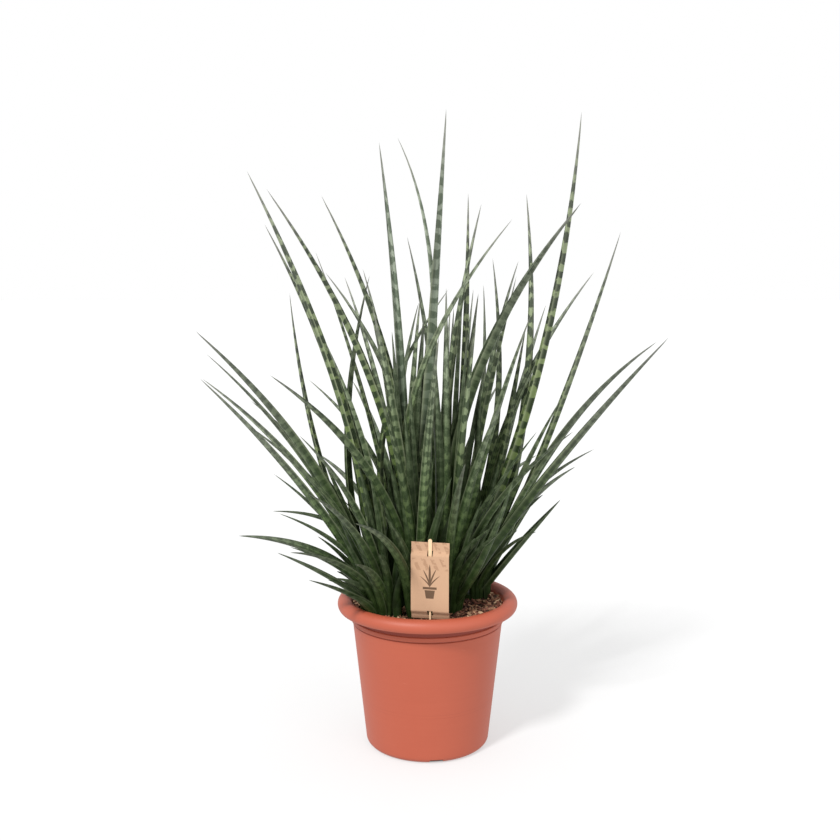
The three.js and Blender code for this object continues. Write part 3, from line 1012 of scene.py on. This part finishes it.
def mark_leaf(made, leaf, lean, length, draw):
    bold = boldness(leaf, lean, draw)
    points = len(made.data.vertices)
    mark(made, "bold", [abs(bold)] * points)
    mark(made, "sage", [1.0 if bold < 0 else draw.uniform(0.0, 0.3)] * points)
    mark(made, "lime", [1.0 if bold >= LIME_FROM or draw.random() < LIME_CHANCE else 0.0] * points)
    mark(made, "dusk", [shade_of(leaf, bold, draw)] * points)
    mark(made, "reach", [length] * points)
    mark(made, "seed", [draw.random()] * points)


first_at, first_leaves = SHOOTS["right"]
test_leaf = bent_leaf(blank, first_at, first_leaves[0], random.Random(1))
print("a leaf's tip:", [round(side / MM) for side in test_leaf.bound_box[6]])
bpy.data.objects.remove(test_leaf)

# %% [markdown]
# ## Shoots
# The leaves of a shoot sheathe one another on a short stem, of which only a low crown shows above the
# mulch. The stem is a cylinder whose top ring is drawn in to a dome. It is joined with its leaves into one
# piece, because on the plant they are one grown thing. Between the large leaves stand young ones, which
# fill each shoot's foot. The first five numbers of these are as above, and the sixth says how far out of
# the stem's middle the leaf grows.

# %% Shoots
YOUNG_BOLD = 0.15
YOUNG_DUSK = 0.8
YOUNG = {
    "front_left": [
        (-112, -52, 235, 10, 11, 14), (-108, -84, 215, 8, 10, 16), (-92, -98, 240, 8, 11, 12),
        (-70, -104, 235, 8, 11, 12), (-124, -30, 250, 12, 11, 12), (-66, -70, 300, 8, 12, 8),
        (-90, -44, 310, 8, 12, 8), (-100, -70, 270, 8, 11, 16), (-80, -84, 265, 8, 11, 14),
        (-50, -96, 275, 8, 11, 10), (-104, -60, 205, 8, 10, 20), (-88, -92, 200, 6, 10, 18),
        (-76, -60, 340, 6, 12, 6), (-62, -84, 330, 8, 11, 6), (-26, -64, 225, 6, 11, 8),
        (-30, -56, 255, 5, 12, 10), (-98, -42, 190, 8, 11, 16), (-100, -22, 196, 8, 11, 16),
        (-42, 10, 330, 4, 13, 4), (-37, 4, 285, 4, 13, 4)],
    "front": [
        (-44, -96, 265, 8, 11, 10), (-34, -72, 340, 6, 12, 4), (-26, -64, 400, 5, 13, 2),
        (-50, -66, 300, 5, 13, 4), (-44, -52, 345, 5, 13, 2), (6, -58, 345, 5, 12, 2),
        (0, -62, 400, 4, 13, 2), (-20, -56, 425, 4, 13, 2), (32, -66, 300, 6, 12, 6)],
    "middle": [
        (-4, -12, 500, 4, 15, 2), (4, -2, 520, 4, 14, 2), (-40, -18, 480, 5, 13, 2),
        (-47, -2, 320, 4, 13, 6), (-36, -16, 300, 4, 13, 6)],
    "front_right": [
        (8, -44, 450, 4, 13, 2), (-8, -24, 350, 4, 13, 2), (66, -56, 270, 8, 11, 10),
        (58, -72, 300, 6, 11, 8), (44, -30, 480, 4, 13, 2), (84, -48, 290, 8, 11, 10)],
    "middle_right": [
        (40, 14, 530, 4, 13, 2), (52, 8, 480, 5, 13, 2), (68, 12, 450, 5, 14, 2)],
    "right": [
        (88, 0, 290, 8, 11, 8), (82, -14, 340, 8, 12, 4), (60, 4, 420, 4, 13, 2), (90, 20, 340, 8, 11, 6),
        (104, 2, 250, 12, 11, 15)],
    "left": [
        (-104, 0, 290, 8, 11, 10), (-92, 30, 350, 6, 12, 4), (-110, -8, 250, 10, 11, 12),
        (-40, 4, 280, 4, 13, 2), (-104, -14, 205, 8, 11, 14)],
}
STEM_R = 15.5
STEM_DEPTH = 40
STEM_CROWN = 7
STEM_SIDES = 28
CROWN_SHRINK = 0.7
CROWN_RINGS = ((0.75, 1.2), (0.6, 0.6))
STEM_MARKS = {"along": 0.02, "across": 0.3, "bold": 0.1, "sage": 0.0, "lime": 0.0, "dusk": 0.8, "reach": 0.3,
              "seed": 0.5}


def stem(at):
    start()
    top = SOIL_Z + STEM_CROWN
    height = STEM_DEPTH + STEM_CROWN
    axis = (at[0] * MM, at[1] * MM, 0)
    bpy.ops.mesh.primitive_cylinder_add(vertices=STEM_SIDES, radius=STEM_R * MM, depth=height * MM,
                                        location=(*axis[:2], (top - height / 2) * MM))
    made = bpy.context.object
    settle(made)
    edit(made)
    pick(made, lambda point: point.z > (top - 1) * MM)
    bpy.ops.transform.resize(value=(CROWN_SHRINK, CROWN_SHRINK, 1), center_override=axis)
    for factor, lift in CROWN_RINGS:
        grow_ring(factor, lift, axis)
    done()
    close_up(made)
    smooth(made, 60)
    points = len(made.data.vertices)
    for name, value in STEM_MARKS.items():
        mark(made, name, [value] * points)
    return made


def young_leaf(at, leaf, draw):
    """A leaf that grows from the side of the stem that it leans to. Its darkness is painted shade."""
    away = (Vector(leaf[:2]) - Vector(at)).normalized()
    made = bent_leaf(blank, Vector(at) + away * leaf[5], leaf[:5] + (YOUNG_BOLD,), draw)
    # painted shade: the young leaves stand deep among the others
    made.data.attributes["dusk"].data.foreach_set("value", [YOUNG_DUSK] * len(made.data.vertices))
    return made


def grow_shoot(name, at, leaves, draw):
    grown = [bent_leaf(blank, at, leaf, draw) for leaf in leaves]
    grown += [young_leaf(at, leaf, draw) for leaf in YOUNG.get(name, [])]
    return join([stem(at), *grown], "leaves_" + name)


# %% [markdown]
# ## Leaf patterns
# The cross bands are what everybody knows this plant by: blackish green on a pale grey-green, with ragged
# edges and pale flecks inside the dark bands. They are never quite even, so a sine along the leaf is pushed
# about by noise, once slowly so that the bands differ in width, and once finely so that their edges are
# torn. Streaks and fine ribs run lengthwise, and towards its end a leaf dries. Each pattern is made once,
# on the shader that the colours are then mixed by.

# %% Leaf patterns
class LeafShader(Shader):
    """The leaves' material, with the patterns by which its colours are mixed."""

    def __init__(self, name):
        super().__init__(name)
        self.along = self.attribute("along")
        self.across = self.attribute("across")
        self.bold = self.attribute("bold")
        self.sage = self.attribute("sage")
        self.seed = self.attribute("seed")
        reach = self.attribute("reach")
        self.height = self.along * reach
        self.fleck = self.pattern(380, 3.0, 23, 3.0)
        self.streak = self.pattern(6, 3.2, 41, 3.0)
        self.rib = (self.across * 19 + 6 * self.streak).sine()
        self.dark = self.bands()
        self.tall = reach.rise(0.2, 0.42)
        self.dry = (0.4 + 0.25 * self.tall) * (1 - 0.35 * self.bold) * self.along.rise(0.3, 0.85)

    def pattern(self, per_metre, per_width, shift, detail=2.0):
        """Noise laid along and across the leaf. It is another one on each leaf, and for each shift."""
        point = self.vector(self.height * per_metre, self.across * per_width, self.seed * 90 + shift)
        return self.noise(point, 1.0, detail)

    def bands(self):
        """1 in a dark band and 0 in a pale one."""
        pitch = 0.011 + 0.008 * (self.seed * 7.3).fraction()
        push = 1.7 * (self.pattern(28, 0.4, 3) - 0.5) + 0.5 * (self.pattern(280, 1.8, 11, 3.0) - 0.5)
        wave = ((self.height / pitch + push) * math.tau).sine()
        return (0.8 * wave + 3.2 * (self.pattern(60, 0.9, 5) - 0.5)).rise(-0.7, 0.4)


# %% [markdown]
# ## Leaf colours
# A leaf is mixed of a banded green and of a plain one with paler streaks. In both, the pale and the dark
# colour turn grey where the leaf is dry. Some leaves have lime green bands, and a few are grey-green all
# over.

# %% Leaf colours
PALE_BAND = paint(151, 171, 102)
PALE_SAGE = paint(152, 165, 148)
LIME_BAND = paint(150, 174, 90)
DARK_BAND = paint(24, 38, 16)
DARK_SAGE = paint(108, 122, 106)
DRY_BAND = paint(176, 180, 168)
PLAIN_PALE = paint(106, 130, 76)
PLAIN_DARK = paint(32, 50, 22)
DRY_PALE = paint(168, 172, 160)
DRY_DARK = paint(94, 100, 88)


def banded_green(leaf):
    lime = leaf.pattern(16, 0.3, 53).rise(0.46, 0.56) * leaf.attribute("lime") * leaf.along.rise(0.85, 0.5)
    pale = leaf.mix(leaf.sage, PALE_BAND, PALE_SAGE)
    pale = leaf.mix(leaf.dry, leaf.mix(0.6 * lime, pale, LIME_BAND), DRY_BAND)
    deep = leaf.mix(0.75 * leaf.dry, leaf.mix(leaf.sage, DARK_BAND, DARK_SAGE), DRY_DARK)
    mottled = (leaf.dark + 1.1 * (leaf.fleck - 0.5)).rise(0.2, 0.8)
    return leaf.mix(mottled, pale, deep)


def plain_green(leaf):
    pale = leaf.mix(leaf.dry, PLAIN_PALE, DRY_PALE)
    deep = leaf.mix(0.75 * leaf.dry, PLAIN_DARK, DRY_DARK)
    streaked = (0.25 * leaf.dark + 1.1 * leaf.fleck + 1.2 * leaf.streak - 0.75).rise(0.1, 0.9)
    return leaf.mix(streaked, pale, deep)


# %% [markdown]
# Over either green lie the finer marks: dark streaks, pale ribs, darker sides with a thin pale line along
# each margin, and a grey tip on the tall leaves.

# %% Fine marks on a leaf
STREAK = paint(20, 28, 16)
PALE_RIB = paint(172, 178, 150)
DARK_SIDE = paint(26, 34, 20)
PALE_MARGIN = paint(176, 182, 150)
GREY_TIP = paint(138, 138, 130)


def fine_marks(leaf, colour):
    colour = leaf.mix(0.5 * leaf.streak.rise(0.52, 0.72), colour, STREAK)
    colour = leaf.mix(0.12 * leaf.rib.rise(0.2, 1.0), colour, PALE_RIB)
    side = abs(leaf.across)
    colour = leaf.mix(0.45 * side.rise(0.5, 0.85), colour, DARK_SIDE)
    margin = side.rise(0.92, 1.0) * leaf.along.rise(0.85, 0.5)
    colour = leaf.mix(0.45 * margin, colour, PALE_MARGIN)
    return leaf.mix(0.75 * leaf.tall * leaf.along.rise(0.84, 0.98), colour, GREY_TIP)


# %% [markdown]
# ## Light and shade in the crowd
# A real plant has many more small leaves low down than are modelled here, and what light comes through them
# is green. So the leaves' colour also depends on where it is: greyer far out with a painted sheen, deeper
# green further in, and painted shade low down, round the pot's axis and on the leaves that stand behind
# others.

# %% Light and shade in the crowd
PAINTED_SHEEN_GREY = paint(140, 142, 138)
DEEP_SHADE = paint(12, 22, 8)
INNER_GREEN = paint(46, 70, 18)
DARKEST = 0.88


def in_the_crowd(leaf, colour, z):
    outwards = leaf.off_axis()
    # painted sheen: the outer leaves are greyed as if they reflected the white room
    colour = leaf.mix(0.14 * outwards.rise(0.11, 0.2), colour, PAINTED_SHEEN_GREY)
    core = outwards.rise(0.15, 0.05) * z.rise(0.46, 0.34)
    # painted shade: darker low down, round the pot's axis, and where the dusk mark says neighbours shade the
    # leaf
    shade = 0.31 * z.rise(0.36, 0.17) + 0.42 * leaf.attribute("dusk") + 0.25 * core
    colour = leaf.mix(shade.smaller(DARKEST), colour, DEEP_SHADE)
    # painted light: a deeper green among the inner leaves, for the green light that comes through the crowd
    inside = outwards.rise(0.2, 0.1) * z.rise(0.55, 0.35)
    return leaf.mix(0.25 * inside, colour, INNER_GREEN)


# %% [markdown]
# ## Leaf finish
# The bands fade a little low down, where a leaf is old and shaded. The skin is tough and half matt, and
# only the ribs and streaks stand out in relief. Then the whole plant grows. One chain of seeded draws runs
# through all nine shoots, so that no two leaves are marked alike.

# %% Leaf finish
LEAF_SEED = 7


def leaf_skin():
    leaf = LeafShader("snake_plant_leaf")
    z = leaf.place().other("Z")
    bold = leaf.bold * (1 - 0.3 * z.rise(0.36, 0.22))
    colour = leaf.mix(bold, plain_green(leaf), banded_green(leaf))
    colour = in_the_crowd(leaf, fine_marks(leaf, colour), z)
    relief = 0.3 * leaf.rib + 0.8 * leaf.streak + 0.3 * leaf.fleck
    roughness = 0.36 + 0.2 * leaf.streak
    return leaf.surface(colour, roughness, leaf.bump(relief, 0.15 * MM), Specular_IOR_Level=0.15)


# %% Grow the shoots
leaf_draw = random.Random(LEAF_SEED)
green = leaf_skin()
for name, (at, leaves) in SHOOTS.items():
    shoot = grow_shoot(name, at, leaves, leaf_draw)
    hand_in(shoot, green, "leaf", "shoot_" + name)
bpy.data.objects.remove(blank)

# %% [markdown]
# ## Tag
# The tag is an upright strip of kraft board with two slots, threaded on a stick: its ends lie behind the
# stick and its middle in front, so the card bows forward between the slots. A fine grid is moved row by row
# into that bow, given its thickness, and the slots are cut through it.

# %% Tag card
TAG_AT = (2.5, -75)
TAG_TURN = math.radians(-12)
TAG_BOTTOM = 169
TAG_WIDTH = 42
TAG_HEIGHT = 85
TAG_THICK = 1
STICK_WIDTH = 4.2
STICK_THICK = 1.6
STICK_BOTTOM = 135
STICK_OVER = 4
FIT_GAP = 0.3
CARD_EASE = 0.1
STICK_FRONT = -(STICK_THICK + FIT_GAP)
CARD_BOW = STICK_THICK + TAG_THICK + 2 * FIT_GAP + CARD_EASE
SLOT_WIDTH = 6
SLOT_LOWS = (3.5, 70)
SLOT_HEIGHT = 6
CUTTER_DEPTH = 20
CARD_COLUMNS = 12
CARD_ROWS = 114


def card_bow(height):
    """How far the card stands in front of its ends, at a height above its lower edge."""
    lower, upper = (ease(height, low, low + SLOT_HEIGHT) for low in SLOT_LOWS)
    return CARD_BOW * (lower - upper)


def stand_tag(piece):
    """Turns a piece of the tag as the tag stands, and takes it to its place in the mulch."""
    place = Matrix.Translation((TAG_AT[0] * MM, TAG_AT[1] * MM, 0))
    piece.data.transform(place @ Matrix.Rotation(TAG_TURN, 4, "Z"))


def card_sheet():
    start()
    bpy.ops.mesh.primitive_grid_add(x_subdivisions=CARD_COLUMNS, y_subdivisions=CARD_ROWS, size=1,
                                    rotation=(math.pi / 2, 0, 0))
    card = bpy.context.object
    card.name = "tag_card"
    card.scale = (TAG_WIDTH * MM, TAG_HEIGHT * MM, 1)
    card.location = (0, 0, (TAG_BOTTOM + TAG_HEIGHT / 2) * MM)
    settle(card)
    edit(card)
    for row in range(CARD_ROWS + 1):
        height = TAG_HEIGHT * row / CARD_ROWS
        level = (TAG_BOTTOM + height) * MM
        pick(card, lambda at: abs(at.z - level) < 0.1 * MM)
        bpy.ops.transform.translate(value=(0, -card_bow(height) * MM, 0))
    done()
    apply_modifier(card, "SOLIDIFY", thickness=TAG_THICK * MM, offset=-1)
    return card


def slot_cutter(low):
    start()
    at = (0, 0, (TAG_BOTTOM + low + SLOT_HEIGHT / 2) * MM)
    bpy.ops.mesh.primitive_cube_add(size=1, location=at)
    cutter = bpy.context.object
    cutter.scale = (SLOT_WIDTH * MM, CUTTER_DEPTH * MM, SLOT_HEIGHT * MM)
    settle(cutter)
    return cutter


card = card_sheet()
for low in SLOT_LOWS:
    cut(card, slot_cutter(low))
apply_modifier(card, "BEVEL", width=0.15 * MM, segments=2, limit_method="ANGLE", angle_limit=math.radians(60))
smooth(card, 40)
print("card:", [round(side / MM, 1) for side in card.dimensions], "mm")

# %% [markdown]
# ## Card finish
# The board is unbleached kraft: warm tan, with darker and paler fibres. Its print is a plain pictogram of
# five blades in a pot, in brown ink, and a faint tone-on-tone hatching above it. Both are drawn by
# arithmetic on the card's own UV map, in millimetres from the card's middle and from its lower edge. The
# back is left unprinted, and the lowest few millimetres are darkened with painted shade.

# %% Card finish
INK = paint(78, 58, 42)
PRINT_SCALE = 1.2
PRINT_FOOT = 18
DRAWN_MOUTH = 33


def kraft(name, printed):
    board = Shader(name)
    u = board.node("ShaderNodeSeparateXYZ", {}, {0: board.node("ShaderNodeUVMap", {"uv_map": "UVMap"})})
    x = (u - 0.5) * TAG_WIDTH
    y = u.other("Y") * TAG_HEIGHT
    fibre = board.noise(board.vector(x * 0.9, y * 5, 0.0), 1.0, 4.0)
    speck = board.noise(board.vector(x * 3, y * 3, 0.0), 1.0, 3.0)
    colour = board.mix(fibre, paint(168, 132, 105), paint(189, 155, 126))
    colour = board.mix(0.5 * speck.rise(0.6, 0.75), colour, paint(146, 108, 82))
    colour = board.mix(0.4 * speck.rise(0.4, 0.3), colour, paint(204, 172, 144))
    if printed:
        colour = board.mix(0.6 * hatching(board, x, y), colour, paint(146, 112, 86))
        drawing = pictogram(x / PRINT_SCALE, (y - PRINT_FOOT) / PRINT_SCALE + PRINT_FOOT)
        colour = board.mix(0.9 * drawing, colour, INK)
    # painted shade: the lowest few millimetres of the card are darkened
    colour = board.mix(0.5 * y.rise(6, 1), colour, paint(84, 44, 28))
    normal = board.bump(fibre + speck, 0.1 * MM)
    return board.surface(colour, 0.86, normal, Specular_IOR_Level=0.25)


def soft_edge(distance):
    """1 inside a shape and 0 outside it, from a distance in millimetres that is positive inside."""
    return distance.rise(-0.15, 0.15)


def blade(x, y, lean, length, width):
    """A pointed blade that grows from the middle of the drawn pot's mouth."""
    share = (y - DRAWN_MOUTH) / length
    bulge = (share.larger(0.0) * (1 - share).larger(0.0)).power(0.6) * width
    middle = lean * share * length * share.larger(0.0).power(0.5)
    return soft_edge(bulge - abs(x - middle) - 0.1)


def pictogram(x, y):
    """Five blades in a small tapered pot."""
    drawn = blade(x, y, 0.0, 21, 2.6)
    for lean, length in ((0.35, 17), (-0.38, 16), (0.85, 11), (-0.9, 10)):
        drawn = drawn.larger(blade(x, y, lean, length, 2.0))
    side = 5.2 - (DRAWN_MOUTH - y) * 0.16 - abs(x)
    pot_body = soft_edge(side.smaller(y - 22.5).smaller(30.2 - y))
    pot_rim = soft_edge((6.4 - abs(x)).smaller(y - 31).smaller(33.2 - y))
    return drawn.larger(pot_body).larger(pot_rim)


def hatching(board, x, y):
    """Faint broad leaf-like strokes over the upper third of the card."""
    slant = ((x + 0.45 * y) * 0.62).sine()
    breaks = board.noise(board.vector(x * 0.16, y * 0.3, 4.0), 1.0, 2.0)
    rows = (y * 0.33 + 0.4 * breaks).sine()
    area = y.rise(52, 57)
    return slant.rise(0.0, 0.3) * rows.rise(-0.75, -0.5) * breaks.rise(0.4, 0.5) * area


card.data.materials.clear()
card.data.materials.append(kraft("printed_kraft", True))
card.data.materials.append(kraft("plain_kraft", False))
for face in card.data.polygons:
    face.material_index = 0 if face.normal.y < -0.5 else 1
stand_tag(card)
hand_in(card, None, "card", "plant_tag")

# %% [markdown]
# ## Stick
# A flat splint of pale wood, such as a lolly stick but narrower. It is a block with rounded long edges and
# a rounded top, and its lower end is sharpened to go into the mulch.

# %% Stick
POINT_SHRINK = (0.35, 0.7, 1)
DOME_HEIGHT = 1.6
DOME_RINGS = ((0.86, 0.7), (0.7, 0.6), (0.55, 0.3))


def wooden_stick():
    start()
    top = TAG_BOTTOM + TAG_HEIGHT + STICK_OVER
    height = top - STICK_BOTTOM
    middle = STICK_FRONT + STICK_THICK / 2
    bpy.ops.mesh.primitive_cube_add(size=1, location=(0, middle * MM, (top - height / 2) * MM))
    stick = bpy.context.object
    stick.name = "wooden_stick"
    stick.scale = (STICK_WIDTH * MM, STICK_THICK * MM, height * MM)
    settle(stick)
    edit(stick)
    pick(stick, lambda at: at.z < (STICK_BOTTOM + 1) * MM)
    bpy.ops.transform.resize(value=POINT_SHRINK, center_override=(0, middle * MM, 0))
    pick(stick, lambda at: at.z > (top - 1) * MM)
    bpy.ops.transform.translate(value=(0, 0, -DOME_HEIGHT * MM))
    for factor, lift in DOME_RINGS:
        bpy.ops.mesh.extrude_region_move(TRANSFORM_OT_translate={"value": (0, 0, lift * MM)})
        bpy.ops.transform.resize(value=(factor, 1, 1), center_override=(0, middle * MM, 0))
    done()
    apply_modifier(stick, "BEVEL", width=0.4 * MM, segments=3, limit_method="ANGLE",
                   angle_limit=math.radians(50))
    close_up(stick)
    smooth(stick, 40)
    stand_tag(stick)
    return stick


def pale_wood():
    wood = Shader("pale_wood")
    x = wood.place()
    y = x.other("Y")
    z = x.other("Z")
    grain = wood.noise(wood.vector(x * 1800, y * 1800, z * 60), 1.0, 4.0)
    cloud = wood.noise(wood.vector(x * 90, y * 90, z * 25), 1.0, 2.0)
    colour = wood.mix(grain, paint(206, 172, 134), paint(234, 208, 174))
    colour = wood.mix(0.3 * cloud, colour, paint(200, 156, 112))
    return wood.surface(colour, 0.7, wood.bump(grain, 0.1 * MM), Specular_IOR_Level=0.3)


hand_in(wooden_stick(), pale_wood(), "stick_wood", "tag_stick")

# %% [markdown]
# ## Clear the selection
# At the end nothing is left selected.

# %% Clear the selection
start()
